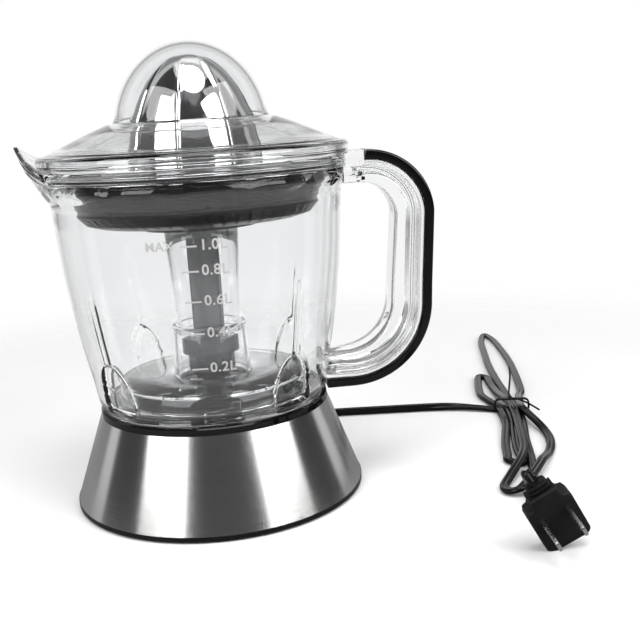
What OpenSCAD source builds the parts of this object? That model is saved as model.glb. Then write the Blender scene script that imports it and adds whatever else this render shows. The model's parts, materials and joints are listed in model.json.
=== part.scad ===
// Electric citrus press: a conical steel base with a geared motor, a clear jug
// with handle and spout, a black strainer, a steel reamer and a clear dust cover.
// Frame: +Z up, origin on the base axis at the surface it stands on,
// handle towards +X, spout towards -X, volume marks on the -Y side.

/* [Base] */
// Radius of the base at its foot
base_r = 77.2; // [76.8:0.1:77.6]
// Radius of the steel shell at its top edge
shell_top_r = 60.8; // [60.4:0.1:61.2]
// Height of the steel shell's top edge
shell_top_z = 47.9; // [47.5:0.1:48.3]
// Thickness of the steel shell
shell_t = 0.8; // [0.6:0.1:1.0]
// Height of the black deck ring above the shell
deck_ring_h = 3.6; // [3.4:0.1:3.8]
// Radius of the raised drum on the deck
drum_r = 46; // [45.5:0.1:46.2]
// Height of the drum's top above the floor
drum_top_z = 61.8; // [61.4:0.1:62.0]

/* [Jug] */
// Thickness of the clear jug wall
wall_t = 2.4; // [2.2:0.1:2.6]
// Height of the top face of the raised jug floor
floor_z = 65; // [64.8:0.1:65.4]
// Outer radius of the raised jug floor
floor_r = 49.4; // [49.2:0.1:49.8]
// Height of the jug rim
rim_z = 176; // [175.9:0.05:176.1]
// Number of hollow ribs in the jug wall
rib_n = 4; // [3:1:4]

/* [Handle] */
// Width of the handle across its grip
handle_w = 22; // [20:1:24]
// Thickness of the black outer strip
strip_t = 5.8; // [5:0.2:6.4]

/* [Strainer] */
// Height of the strainer floor's underside
strainer_z = 147; // [146.8:0.1:147.2]
// Number of slanted slits round the strainer's lower edge
slit_n = 56; // [36:4:56]

/* [Reamer] */
// Largest radius of the steel reamer
reamer_r = 34.6; // [34:0.1:35]
// Height of the reamer's tip above the floor
reamer_tip_z = 229.8; // [229:0.1:230]
// Number of ridges on the reamer
ridge_n = 8; // [6:1:12]

/* [Dust cover] */
// Thickness of the dust cover
cover_t = 1.8; // [1.6:0.1:2]
// Largest radius of the cover's rim
cover_r = 79.3; // [79:0.1:79.4]

/* [Drive] */
// Teeth of the output gear on the spindle
output_teeth = 48; // [48:2:48]
// Teeth of the small pinion on the intermediate gear
small_teeth = 12; // [12:1:12]
// Teeth of the large intermediate gear
large_teeth = 50; // [50:1:50]
// Teeth of the motor pinion
motor_teeth = 10; // [10:1:10]
// Radius of the steel spindle
spindle_r = 4; // [3.5:0.1:4]

/* [Cord] */
// Width of the flat two-core cord
cord_w = 5.2; // [5:0.1:5.4]
// Thickness of the flat two-core cord
cord_t = 3; // [2.8:0.1:3.1]

/* [Hidden] */
$fn = 96;

// Base levels
foot_h = 2;
foot_proud = 0.8;
plate_top_z = 3.2;
deck_z = shell_top_z + deck_ring_h;
plate_z = 29;
plate_t = 2;
post_angles = [80, 205, 325];
post_ring_r = 52;
foot_ring_r = 66;
cord_angle = 64.8;
cord_z = 9.6;

// Gear train: modules, pitch radii and axle places
out_module = 1;
in_module = 0.8;
idler_x = -(output_teeth + small_teeth) / 2 * out_module;
motor_dist = (large_teeth + motor_teeth) / 2 * in_module;
motor_dir = 100;
motor_x = idler_x + motor_dist * cos(motor_dir);
motor_y = motor_dist * sin(motor_dir);
motor_turn = atan2(motor_y, motor_x);
low_gear_z = 32;
low_gear_h = 4;
high_gear_z = 39;
high_gear_h = 5;

// Drive shaft and its fit
shaft_r = 8.3;
dog_r = 6.9;
fit = 0.08;

// Colours
clear_plastic = [0.86, 0.89, 0.9, 0.35];
black_plastic = [0.03, 0.03, 0.03];
grey_plastic = [0.36, 0.37, 0.38];
steel = [0.76, 0.77, 0.78];

// Points on an arc about (cx, cy), from angle a0 to a1 in n steps
function arc(cx, cy, r, a0, a1, n) =
    [for (i = [0 : n]) let (a = a0 + (a1 - a0) * i / n) [cx + r * cos(a), cy + r * sin(a)]];

// Points on an upright ellipse about the axis, as radius and height
function arc_scaled(rx, rz, z, a0, a1, n) =
    [for (i = [0 : n]) let (a = a0 + (a1 - a0) * i / n) [max(0, rx * cos(a)), z + rz * sin(a)]];

// Outline of a spur gear with straight-sided teeth and free play
function gear_outline(teeth, module_size) =
    [for (i = [0 : teeth - 1])
        let (a = 360 * i / teeth, root = module_size * (teeth / 2 - 1.15),
            tip = module_size * (teeth / 2 + 0.85),
            root_half = 0.92 * module_size / root * 57.3, tip_half = 0.34 * module_size / tip * 57.3)
        each [[root * cos(a - root_half), root * sin(a - root_half)],
            [tip * cos(a - tip_half), tip * sin(a - tip_half)],
            [tip * cos(a + tip_half), tip * sin(a + tip_half)],
            [root * cos(a + root_half), root * sin(a + root_half)]]];

// A tube with its foot at z
module tube(r_out, r_in, z, h) {
    translate([0, 0, z])
        difference() {
            cylinder(r = r_out, h = h);
            translate([0, 0, -1])
                cylinder(r = r_in, h = h + 2);
        }
}

// A disc or round bar with its foot at z
module disc(r, z, h) {
    translate([0, 0, z])
        cylinder(r = r, h = h);
}

// Repeats its children at the given angles, at radius r
module around(angles, r) {
    for (a = angles)
        rotate([0, 0, a])
            translate([r, 0, 0])
                children();
}

// ---- Base ----

module cord_opening() {
    rotate([0, 0, cord_angle])
        translate([60, 0, cord_z])
            rotate([0, 90, 0])
                cylinder(r = 4.2, h = 30);
}

module base_plate() {
    lip_r = base_r - 2.4;
    color(black_plastic)
        difference() {
            union() {
                disc(base_r, foot_proud, plate_top_z - foot_proud);
                tube(lip_r, lip_r - 2, 2.4, 3.8);
                disc(5, 2, 19);
                around(post_angles, post_ring_r)
                    disc(4.6, 2, plate_z - 2);
                translate([24, -8, 2])
                    cube([14, 16, 10]);
            }
            around(post_angles, post_ring_r) {
                disc(1.7, foot_proud - 1, 40);
                disc(3.3, foot_proud - 1, 3);
            }
            around([45 : 90 : 315], foot_ring_r)
                disc(7.1, 0, foot_h);
            around([0 : 30 : 330], 36)
                translate([-5, -1.2, 0])
                    cube([10, 2.4, 6]);
            cord_opening();
        }
}

module rubber_feet() {
    color([0.05, 0.05, 0.05])
        around([45 : 90 : 315], foot_ring_r)
            disc(7, 0, foot_h);
}

module steel_shell() {
    bottom_r = base_r - 0.2;
    color(steel)
        difference() {
            rotate_extrude()
                polygon([[bottom_r - shell_t, plate_top_z], [bottom_r, plate_top_z],
                    [shell_top_r, shell_top_z], [shell_top_r - shell_t, shell_top_z]]);
            cord_opening();
        }
}

module deck() {
    ring_r = shell_top_r - 0.2;
    color(black_plastic)
        difference() {
            union() {
                rotate_extrude()
                    polygon([[drum_r - 2.4, deck_z - 2.6], [shell_top_r - shell_t - 2, deck_z - 2.6],
                        [shell_top_r - shell_t - 2, shell_top_z - 4], [shell_top_r - shell_t, shell_top_z - 4],
                        [shell_top_r - shell_t, shell_top_z], [ring_r, shell_top_z],
                        [ring_r, deck_z - 0.6], [ring_r - 0.6, deck_z], [drum_r, deck_z],
                        [drum_r, drum_top_z - 1], [drum_r - 1, drum_top_z], [0, drum_top_z],
                        [0, drum_top_z - 2.6], [drum_r - 2.4, drum_top_z - 2.6]]);
                disc(9, 54, 12);
                around(post_angles, post_ring_r)
                    disc(3.6, plate_z + plate_t, deck_z - 1 - plate_z - plate_t);
                intersection() {
                    tube(48.2, drum_r - 1, 54, 2.6);
                    around([-80, 40, 160], drum_r)
                        translate([-3, -4, 50])
                            cube([8, 8, 10]);
                }
            }
            disc(7, 50, 20);
            around(post_angles, post_ring_r)
                disc(1.5, 30, 14);
        }
}

module deck_bush() {
    color([0.72, 0.55, 0.3])
        tube(7, spindle_r + fit, 54, 12);
}

// Three long screws hold the plate, the gear plate and the deck together
module assembly_screws() {
    color(steel)
        around(post_angles, post_ring_r)
            difference() {
                union() {
                    disc(1.5, 2, 40);
                    disc(3, 0.9, 1.8);
                }
                translate([-2, -0.4, 0])
                    cube([4, 0.8, 1.8]);
            }
}

module gear_plate() {
    color([0.55, 0.56, 0.58])
        difference() {
            union() {
                disc(57, plate_z, plate_t);
                translate([idler_x, 0, 0])
                    disc(4, plate_z - 3, 3);
            }
            disc(8.6, plate_z - 1, 4);
            translate([idler_x, 0, 0])
                disc(2, plate_z - 4, 8);
            translate([motor_x, motor_y, 0])
                disc(5, plate_z - 1, 4);
            around(post_angles, post_ring_r)
                disc(1.7, plate_z - 1, 4);
            around([300 : 30 : 345], 34)
                disc(8, plate_z - 1, 4);
            around([60], 34)
                disc(9, plate_z - 1, 4);
        }
}

// ---- Motor and gears ----

module at_motor() {
    translate([motor_x, motor_y, 0])
        rotate([0, 0, motor_turn])
            children();
}

module motor_stator() {
    color([0.45, 0.45, 0.47])
        at_motor()
            difference() {
                translate([-18, -22, 9])
                    cube([36, 44, 13]);
                disc(10, 8, 16);
                translate([-12, 12.5, 8])
                    cube([24, 5, 16]);
                translate([-12, -18, 8])
                    cube([24, 5, 16]);
            }
}

module motor_coil() {
    color([0.72, 0.38, 0.16])
        at_motor()
            difference() {
                translate([-9, 12.8, 6])
                    cube([18, 12.4, 19]);
                translate([-10, 17.4, 8.9])
                    cube([20, 4.7, 13.2]);
            }
}

module motor_brackets() {
    color([0.62, 0.63, 0.65])
        at_motor()
            difference() {
                union() {
                    translate([-5, -21, 5.5])
                        cube([10, 33, 2]);
                    translate([-5, -21, 23.5])
                        cube([10, 33, 2]);
                    for (y = [-20, 10.5]) {
                        translate([-2, y, 5.5])
                            cube([4, 1.5, 3.5]);
                        translate([-2, y, 22])
                            cube([4, 1.5, 7]);
                    }
                    disc(5, 5, 3);
                    disc(5, 23, 3);
                }
                disc(2 + fit, 4, 24);
            }
}

module motor_rotor() {
    color([0.6, 0.61, 0.63])
        translate([motor_x, motor_y, 0]) {
            disc(9.4, 9.5, 12);
            disc(2, 4.2, 32.6);
        }
}

module motor_pinion() {
    color([0.8, 0.64, 0.3])
        translate([motor_x, motor_y, low_gear_z - 0.4])
            difference() {
                rotate([0, 0, motor_dir + 180 - 18 - 36 * 7])
                    linear_extrude(height = low_gear_h + 0.8)
                        polygon(gear_outline(motor_teeth, in_module));
                translate([0, 0, -1])
                    cylinder(r = 2, h = 8);
            }
}

module idler_pin() {
    color(steel)
        translate([idler_x, 0, 0]) {
            disc(2, plate_z - 3, 20.8);
            disc(3, 46.8, 0.8);
        }
}

module idler_gear() {
    phase = motor_dir - 360 / large_teeth * floor(motor_dir * large_teeth / 360);
    color([0.9, 0.88, 0.8])
        translate([idler_x, 0, 0])
            difference() {
                union() {
                    translate([0, 0, low_gear_z])
                        rotate([0, 0, phase])
                            linear_extrude(height = low_gear_h)
                                polygon(gear_outline(large_teeth, in_module));
                    translate([0, 0, low_gear_z + low_gear_h])
                        rotate([0, 0, 180 / small_teeth])
                            linear_extrude(height = 10)
                                polygon(gear_outline(small_teeth, out_module));
                }
                disc(2 + fit, low_gear_z - 1, 20);
            }
}

module output_gear() {
    color([0.9, 0.88, 0.8])
        difference() {
            union() {
                translate([0, 0, high_gear_z])
                    linear_extrude(height = high_gear_h)
                        polygon(gear_outline(output_teeth, out_module));
                disc(8, high_gear_z - 3, high_gear_h + 6);
            }
            disc(spindle_r, 30, 30);
            around([0 : 60 : 300], 15)
                disc(4.2, 30, 30);
        }
}

module spindle() {
    color(steel)
        disc(spindle_r, 27, 45);
}

// The hexagonal dog on the spindle turns the drive shaft's socket
module drive_dog() {
    color(black_plastic)
        difference() {
            union() {
                translate([0, 0, 71])
                    cylinder(r = dog_r, h = 12, $fn = 6);
                disc(6.2, 69, 2);
            }
            disc(spindle_r, 60, 12);
        }
}

module drive_shaft() {
    color(grey_plastic)
        difference() {
            union() {
                disc(12.3, 67.5, 9.5);
                disc(14.8, 77, 8.5);
                translate([0, 0, 85.5])
                    cylinder(r1 = 14.8, r2 = shaft_r, h = 2.6);
                disc(shaft_r, 86, 80);
                translate([0, 0, 166])
                    cylinder(r = 6.8, h = 20, $fn = 6);
            }
            disc(10, 66, 4.5);
            translate([0, 0, 66])
                cylinder(r = dog_r + 0.3, h = 17, $fn = 6);
            around([15 : 60 : 315], shaft_r)
                translate([-1.1, -1.5, 91])
                    cube([3, 3, 54]);
        }
}

// The press plate slides on the base's centre post, carries the spindle and works the switch
module press_plate() {
    color([0.85, 0.85, 0.83])
        difference() {
            union() {
                disc(7, 14, 13);
                disc(12, 24, 2.5);
                disc(8, 26.5, 6.5);
                translate([8, -3, 24])
                    cube([26, 6, 2.5]);
            }
            disc(5 + fit, 13, 11.5);
            disc(spindle_r + fit, 27, 8);
        }
}

// Open coil spring round the centre post
module return_spring() {
    turns = 6;
    per_turn = 14;
    mean_r = 9.2;
    wire_r = 0.7;
    sides = 6;
    low = plate_top_z + wire_r;
    high = 24 - wire_r;
    rings = turns * per_turn;
    points = [for (i = [0 : rings], k = [0 : sides - 1])
        let (a = 360 * i / per_turn, b = 360 * k / sides, r = mean_r + wire_r * cos(b))
        [r * cos(a), r * sin(a), low + (high - low) * i / rings + wire_r * sin(b)]];
    color(steel)
        tube_skin(points, rings, sides);
}

// Closes a swept list of rings into a solid
module tube_skin(points, rings, sides) {
    quads = [for (i = [0 : rings - 1], k = [0 : sides - 1])
        let (n = (k + 1) % sides)
        each [[i * sides + k, (i + 1) * sides + k, i * sides + n],
            [i * sides + n, (i + 1) * sides + k, (i + 1) * sides + n]]];
    first = [[for (k = [0 : sides - 1]) k]];
    last = [[for (k = [sides - 1 : -1 : 0]) rings * sides + k]];
    polyhedron(points, concat(first, last, quads));
}

module micro_switch() {
    color([0.08, 0.08, 0.09])
        difference() {
            translate([25, -6, 12])
                cube([12, 12, 9.4]);
            translate([29.4, -1.6, 15])
                cube([3.2, 3.2, 10]);
        }
}

module switch_plunger() {
    color([0.8, 0.2, 0.15])
        translate([29.5, -1.5, 18.2])
            cube([3, 3, 5.1]);
}

// ---- Cord ----

// Clamp bar inside the base that grips the cord
module cord_clamp() {
    color([0.12, 0.12, 0.12])
        rotate([0, 0, cord_angle])
            difference() {
                translate([61, -9, plate_top_z])
                    cube([7, 18, 10]);
                translate([60, -2.9, cord_z - 1.8])
                    cube([9, 5.8, 3.6]);
                for (y = [-6.5, 6.5])
                    translate([64.5, y, plate_top_z + 3])
                        cylinder(r = 1.3, h = 9);
            }
}

// Tapered sleeve that guards the cord where it leaves the shell
module strain_relief() {
    slope = 11;
    sleeve_start = 7;
    color([0.06, 0.06, 0.06])
        rotate([0, 0, cord_angle])
            translate([70.5, 0, cord_z])
                difference() {
                    union() {
                        rotate([0, 90, 0])
                            cylinder(r = 4, h = sleeve_start + 1);
                        translate([sleeve_start, 0, 0])
                            rotate([0, 90 + slope, 0])
                                cylinder(r1 = 4.6, r2 = 3.6, h = 20);
                        rotate([0, 90, 0])
                            cylinder(r = 5.2, h = 1.2);
                    }
                    translate([-2, -cord_w / 2 - 0.1, -1.7])
                        cube([sleeve_start + 3, cord_w + 0.2, 3.4]);
                    translate([sleeve_start, 0, 0])
                        rotate([0, slope, 0])
                            translate([-1, -cord_w / 2 - 0.2, -1.8])
                                cube([23, cord_w + 0.4, 3.6]);
                }
}

// Route of the cord's centre line: lead, front fold, back loop, front loop, small loop, plug
cord_points = [
    [26, 55, 9.6], [33, 71, 9], [38.5, 82, 6.6], [46, 91, 4.2], [58, 97, 3], [78, 98, 2.7],
    [98, 95.5, 2.7], [138, 90, 2.7], [154, 86.5, 2.7], [167, 81.5, 2.4], [181, 74.5, 1.7],
    [182.5, 69.5, 1.7], [178, 46, 1.7], [172, 28, 1.7], [165.5, 9, 1.7], [161, -8, 1.7],
    [159, -15.5, 1.7], [163, -21.5, 1.7], [166, -19, 1.7], [170, 2, 1.7], [178.5, 31, 1.7],
    [183.5, 47, 1.7], [186.5, 60, 1.7], [188, 70.5, 1.7], [184.5, 80, 1.7], [181, 105, 1.7],
    [183.5, 120, 1.7], [187.5, 136, 1.7], [193, 153, 1.7], [197.5, 148.5, 1.7], [196, 138, 1.7],
    [194, 122, 1.7], [192, 104, 3], [190.5, 87, 4.9], [190, 70, 5], [187.5, 56, 5], [179.5, 24, 5],
    [176, 10, 5], [171, -7, 5], [164.5, -21.5, 5.1], [157, -33, 4], [150, -42.5, 2.2],
    [145, -50.5, 1.7], [144.5, -57.5, 1.9], [148.5, -61.5, 3.6], [154.5, -57.5, 5.1],
    [169.5, -35, 5], [175.5, -25, 4.6], [184, -11, 1.7], [190, 1, 1.7], [194, 14, 1.7],
    [195.5, 26, 2.2], [195, 37, 3.8], [194.5, 57, 5], [195.5, 69, 5], [204, 97, 2.2],
    [210, 109.5, 1.7], [219, 146, 1.7], [228, 188.5, 1.7], [233.5, 226, 1.7], [237, 255.5, 1.7],
    [236.5, 276, 1.7], [233, 273.5, 1.7], [228, 261, 1.7], [223.5, 245.5, 1.7], [218, 220.5, 1.7],
    [209, 179.5, 1.7], [201.5, 134, 1.7], [200, 122, 1.7], [197.5, 104, 1.7], [195.5, 87, 1.7],
    [193.5, 69.5, 1.7], [191.5, 56, 1.7], [186, 36, 1.7], [180.5, 18, 1.7], [176.5, 2, 1.7],
    [173, -12, 1.7], [168.6, -28, 1.7], [163.6, -42, 1.7], [154.4, -67, 3], [150, -78, 9],
    [139.7, -105, 25], [131.8, -122.2, 37.6], [132.1, -125, 37.2], [133.1, -125.9, 35.6],
    [134.4, -125.6, 33.4]
];

function unit(v) = v / norm(v);

// Cross-section k of the flat cord, lying flat, at ring i of the route
function cord_ring(path, i, sides) =
    let (a = path[max(i - 1, 0)], b = path[min(i + 1, len(path) - 1)],
        along = unit(b - a), side = unit(cross([0, 0, 1], along)), up = cross(along, side))
    [for (k = [0 : sides - 1]) let (t = 360 * (k + 0.5) / sides)
        path[i] + side * cord_w / 2 * 1.02 * cos(t) + up * cord_t / 2 * 1.08 * sin(t)];

module power_cord() {
    sides = 8;
    path = cord_points;
    rings = len(path) - 1;
    points = [for (i = [0 : rings]) each cord_ring(path, i, sides)];
    color(black_plastic)
        tube_skin(points, rings, sides);
}

// Wire tie round the bundle, with its two twisted ends
module cord_tie() {
    color([0.04, 0.04, 0.04])
        translate([190, 70, 0])
            rotate([0, 0, -12]) {
                difference() {
                    translate([-11.4, -1.2, 0])
                        cube([22.8, 2.4, 9.8]);
                    translate([-10.4, -3, 0.7])
                        cube([20.8, 6, 8.4]);
                }
                translate([-1, -0.5, 9.2])
                    rotate([0, 10, -41])
                        cube([22, 1, 1]);
                translate([-1, -0.5, 9.2])
                    rotate([0, -58, 84])
                        cube([22, 1, 1]);
            }
}

// The plug stands on one corner, with its broad face and blades towards -Y
plug_pos = [150, -125, 5.9];
plug_turn = [-101, 29, 176.5];
module at_plug() {
    translate(plug_pos)
        rotate(plug_turn)
            children();
}

module plug_body() {
    color(black_plastic)
        at_plug()
            difference() {
                union() {
                    translate([0, 0, -10])
                        linear_extrude(height = 10)
                            polygon(concat([[-6.5, -27], [6.5, -27]], [[7.5, -22], [11, -20]],
                                arc(9.7, -2, 2, 0, 90, 4), arc(-9.7, -2, 2, 90, 180, 4),
                                [[-11, -20], [-7.5, -22]]));
                    for (y = [-31, -28, -25])
                        translate([-5.5, y, -8])
                            cube([11, 1.8, 6.4]);
                    translate([-4.4, -32, -7.2])
                        cube([8.8, 8, 4.8]);
                }
                for (x = [-6.35, 6.35])
                    translate([x - 0.8, -15.7, -6])
                        cube([1.6, 6.4, 8]);
                translate([-2.8, -33, -6.4])
                    cube([5.6, 4, 3.2]);
            }
}

module plug_blades() {
    color(steel)
        at_plug()
            for (x = [-6.35, 6.35])
                difference() {
                    translate([x - 0.8, -15.7, -6])
                        cube([1.6, 6.4, 22.4]);
                    translate([x - 2, -12.5, 12.6])
                        rotate([0, 90, 0])
                            cylinder(r = 1.6, h = 4);
                }
}

// ---- Jug ----

// Outer outline of the jug wall from the foot to the rim, as radius and height
jug_outline = [[58.4, 51.5], [60.4, 55], [61.6, 60], [63.3, 70.6], [66, 83.9], [68.6, 99.4],
    [70.8, 114.8], [72.4, 130.3], [73.4, 145.7], [74.2, 158], [75, 163], [76.4, 166],
    [77.2, 169], [77.4, 172], [77.4, rim_z]];
// Solid inside the jug's outer surface, and the one inside its wall
module jug_outer() {
    rotate_extrude()
        polygon(concat([[0, 51.5]], jug_outline, [[0, rim_z]]));
}

module jug_wall() {
    inner = [for (i = [len(jug_outline) - 4 : -1 : 1])
        [jug_outline[i][0] - wall_t - (i > 9 ? 0.6 : 0), jug_outline[i][1]]];
    rotate_extrude()
        polygon(concat(jug_outline, [[74.8, rim_z], [74.8, 170], [72, 170], [71.8, 166]],
            [for (p = inner) if (p[1] < 165) p], [[56, 55.2], [floor_r, 55.2], [floor_r, floor_z],
            [20.9, floor_z], [20.6, 67], [19.2, 89], [19.9, 90], [19.9, 91.4], [19.2, 92],
            [17.6, 92], [17.1, 90], [18.6, 62.6], [floor_r - 2.2, 62.6], [floor_r - 2.2, 53],
            [56, 53], [56, 51.5]]));
}

// Each rib is a leaning hollow cone that stands into the jug from its wall
module rib_cone(grow, shift) {
    for (i = [0 : rib_n - 1])
        rotate([0, 0, -48 + i * 360 / rib_n])
            translate([60 + shift, 0, 53])
                rotate([0, 12, 0])
                    cylinder(r1 = 8.5 + grow, r2 = 1 + grow, h = 62);
}

// Pouring lip: a trough from the neck out to a raised tip
module lip_solid(inset, lift) {
    hull() {
        for (a = [-20, 0, 20])
            rotate([0, 0, 180 + a])
                translate([72.6 - inset, 0, 159 + inset])
                    cylinder(r = 0.6, h = 1, $fn = 8);
        for (a = [-34, -17, 0, 17, 34])
            rotate([0, 0, 180 + a * (1 - inset / 24)])
                translate([76.6 - inset, 0, 174.8])
                    cylinder(r = 0.6, h = 1 + lift, $fn = 8);
        translate([-89.6 + inset, 0, 187.6])
            cylinder(r = 1, h = 1.6 + lift, $fn = 8);
    }
}

module jug_body() {
    color(clear_plastic)
        difference() {
            union() {
                difference() {
                    union() {
                        jug_wall();
                        intersection() {
                            rib_cone(2, 0);
                            jug_outer();
                            tube(80, floor_r - 0.1, 54, 70);
                        }
                        difference() {
                            lip_solid(0, 0);
                            jug_outer();
                        }
                    }
                    intersection() {
                        rib_cone(0, 1.6);
                        disc(90, 50, 60);
                    }
                }
                for (z = [170.4, 172.6])
                    tube(77.9, 77, z, 0.8);
            }
            intersection() {
                lip_solid(2, 12);
                disc(100, 162, 40);
                translate([-100, -60, 160])
                    cube([100 - 66, 120, 50]);
            }
            disc(cover_r + 0.5, rim_z, 20);
            around([-80, 40, 160], floor_r - 2.4)
                translate([-2, -4.6, 52])
                    cube([3.4, 9.2, 5.2]);
        }
}

// ---- Handle ----

// Handle outlines in the X-Z plane, inset from the outer edge by d
function handle_outer(d) = concat([[72, 177.5 - d]], arc(88, 142, 35.5 - d, 90, 3, 12),
    arc(75.5, 96, 45 - d, -2, -90, 14), [[56, 51 + d]]);
function handle_inner(d) = concat([[56, 70 - d]], arc(70.5, 98, 28 + d, -90, 0, 9),
    arc(84, 142, 18.5 + d, 0, 90, 8), [[72, 160.5 - d]]);
function reversed(list) = [for (i = [len(list) - 1 : -1 : 0]) list[i]];

// A band of the handle between two insets from its outer edge
module handle_band(d0, d1, w) {
    rotate([90, 0, 0])
        linear_extrude(height = w, center = true)
            polygon(concat(handle_outer(d0), reversed(handle_outer(d1))));
}

module handle_clear_of_jug() {
    difference() {
        children();
        jug_outer();
        tube(95, 40, rim_z - 0.2, 10);
        disc(cover_r + 0.7, rim_z - 0.2, 10);
        disc(62, 40, 11.7);
        for (z = [170.4, 172.6])
            disc(78, z, 0.8);
    }
}

module handle_frame() {
    color(clear_plastic)
        difference() {
            handle_clear_of_jug()
                rotate([90, 0, 0])
                    linear_extrude(height = handle_w, center = true)
                        polygon(concat(handle_outer(0), handle_inner(0)));
            intersection() {
                handle_band(-1, strip_t, handle_w + 2);
                handle_strip_zone();
            }
            for (side = [-1, 1])
                translate([0, side * (handle_w / 2 - 2.5), 0])
                    handle_band(strip_t + 2.6, strip_t + 7, 9);
        }
}

// Where the black strip runs: all of the outer edge but the top root
module handle_strip_zone() {
    union() {
        translate([86.5, -20, 40])
            cube([50, 40, 150]);
        translate([40, -20, 40])
            cube([50, 40, 40]);
    }
}

module handle_strip() {
    color(black_plastic)
        handle_clear_of_jug()
            intersection() {
                handle_band(0, strip_t, handle_w);
                handle_strip_zone();
            }
}

// ---- Strainer ----

module strainer() {
    z = strainer_z;
    color(black_plastic)
        difference() {
            union() {
                rotate_extrude()
                    polygon([[11, z], [50, z], [57.5, z + 2.6], [62, z + 7.4], [63.2, z + 12],
                        [63.8, 170], [74.2, 170], [74.2, 172.2], [61.8, 172.2], [61, z + 12.6],
                        [60, z + 8.4], [56.4, z + 4.6], [49.6, z + 2.2], [15, z + 2.2],
                        [13.4, z + 4], [13, 161], [11, 161]]);
                tube(28.5, 26, z - 3.6, 4);
            }
            for (i = [0 : slit_n - 1])
                rotate([0, 0, i * 360 / slit_n])
                    translate([57, 0, z - 1])
                        rotate([28, 0, 0])
                            translate([-4, -0.7, -4])
                                cube([12, 1.4, 13]);
            around([-16 : 90 : 254], 27)
                translate([-3, -1.6, z - 5])
                    cube([6, 3.2, 5]);
            for (i = [0 : 23])
                rotate([0, 0, i * 15])
                    translate([31, -0.8, z - 1])
                        cube([13, 1.6, 5]);
        }
}

// Clear tube below the strainer that the drive shaft turns in
module stem_tube() {
    color(clear_plastic)
        rotate_extrude()
            polygon([[15, 87.8], [16.3, 87.8], [19.6, strainer_z - 2], [25, strainer_z - 2],
                [25, strainer_z], [17.8, strainer_z], [17.8, strainer_z - 4]]);
}

// Loose bush in the strainer's centre boss
module stem_bush() {
    color([0.8, 0.8, 0.78])
        difference() {
            union() {
                disc(10.9, 149, 12.2);
                disc(13.4, 161, 1);
            }
            disc(shaft_r + fit, 140, 30);
        }
}

// ---- Reamer ----

// Reamer's outer radius at height z: an upright half ellipse on a short skirt
reamer_low_z = 169.8;
function reamer_profile(inset) = let (n = 18, low = 156.5, span = reamer_tip_z - reamer_low_z)
    concat([[reamer_r + 0.6 - inset, low], [reamer_r - inset, low + 3]],
        [for (i = [0 : n]) let (a = 90 * i / n)
            [max(0, (reamer_r - inset) * cos(a)), reamer_low_z + (span - inset) * sin(a)]]);

module reamer_form(inset) {
    rotate_extrude()
        polygon(concat([[0, 156.5]], reamer_profile(inset)));
}

module reamer_shell() {
    color(steel)
        difference() {
            union() {
                reamer_form(0);
                intersection() {
                    reamer_form(-0.9);
                    for (i = [0 : ridge_n - 1])
                        rotate([0, 0, (i + 0.5) * 360 / ridge_n])
                            translate([6, -0.8, 172])
                                cube([40, 1.6, 56]);
                }
            }
            reamer_form(0.8);
            disc(reamer_r + 0.6 - 0.8, 156, 1);
        }
}

module thrust_washer() {
    color(steel)
        tube(12.4, shaft_r + fit, 164.7, 0.8);
}

// Plastic core inside the steel reamer, with the socket for the drive shaft
module reamer_core() {
    color([0.16, 0.16, 0.17])
        difference() {
            union() {
                disc(12, 165.5, 36);
                intersection() {
                    reamer_form(0.9);
                    union() {
                        for (i = [0 : 3])
                            rotate([0, 0, 45 + i * 90])
                                translate([9, -1.2, 172])
                                    cube([26, 2.4, 44]);
                        tube(34, 31.4, 157, 5);
                        disc(34, 200, 3);
                        for (i = [0 : 3])
                            rotate([0, 0, 45 + i * 90])
                                translate([30.5, -1.2, 160])
                                    cube([4, 2.4, 14]);
                    }
                }
            }
            disc(shaft_r + fit, 160, 6.6);
            translate([0, 0, 160])
                cylinder(r = 7.1, h = 26.2, $fn = 6);
        }
}

// ---- Dust cover ----

module dust_cover() {
    t = cover_t;
    dome = arc_scaled(39.3, 44.6, 192, 8, 90, 14);
    shoulder = [[cover_r - 0.8, rim_z], [cover_r, rim_z + 2], [cover_r - 0.3, rim_z + 4.6],
        [cover_r - 2.4, rim_z + 6.8], [68.6, 186.3], [60, 190.2], [50, 194.4], [41.4, 197.4]];
    inside = concat(arc_scaled(39.3 - t, 44.6 - t, 192, 90, 8, 14),
        [[39, 196.2], [49.4, 192.5], [59.3, 188.4], [68, 184.5], [72.4, 182.4], [73, 181],
        [73.2, 173.4]]);
    color(clear_plastic)
        rotate_extrude()
            polygon(concat([[74.4, 173.4], [74.4, rim_z]], shoulder, dome, inside));
}

base_plate();
rubber_feet();
steel_shell();
deck();
deck_bush();
assembly_screws();
gear_plate();
motor_stator();
motor_coil();
motor_brackets();
motor_rotor();
motor_pinion();
idler_pin();
idler_gear();
output_gear();
spindle();
drive_dog();
drive_shaft();
press_plate();
return_spring();
micro_switch();
switch_plunger();
cord_clamp();
strain_relief();
power_cord();
cord_tie();
plug_body();
plug_blades();
jug_body();
handle_frame();
handle_strip();
strainer();
stem_tube();
stem_bush();
thrust_washer();
reamer_shell();
reamer_core();
dust_cover();
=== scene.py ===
"""Looks of the electric citrus press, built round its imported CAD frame.

Shapes are given in millimetres, in the CAD frame, and turned into metres as each mesh is made.
"""

import json
import math

import bpy
import bmesh
from mathutils import Euler, Matrix, Vector


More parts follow.
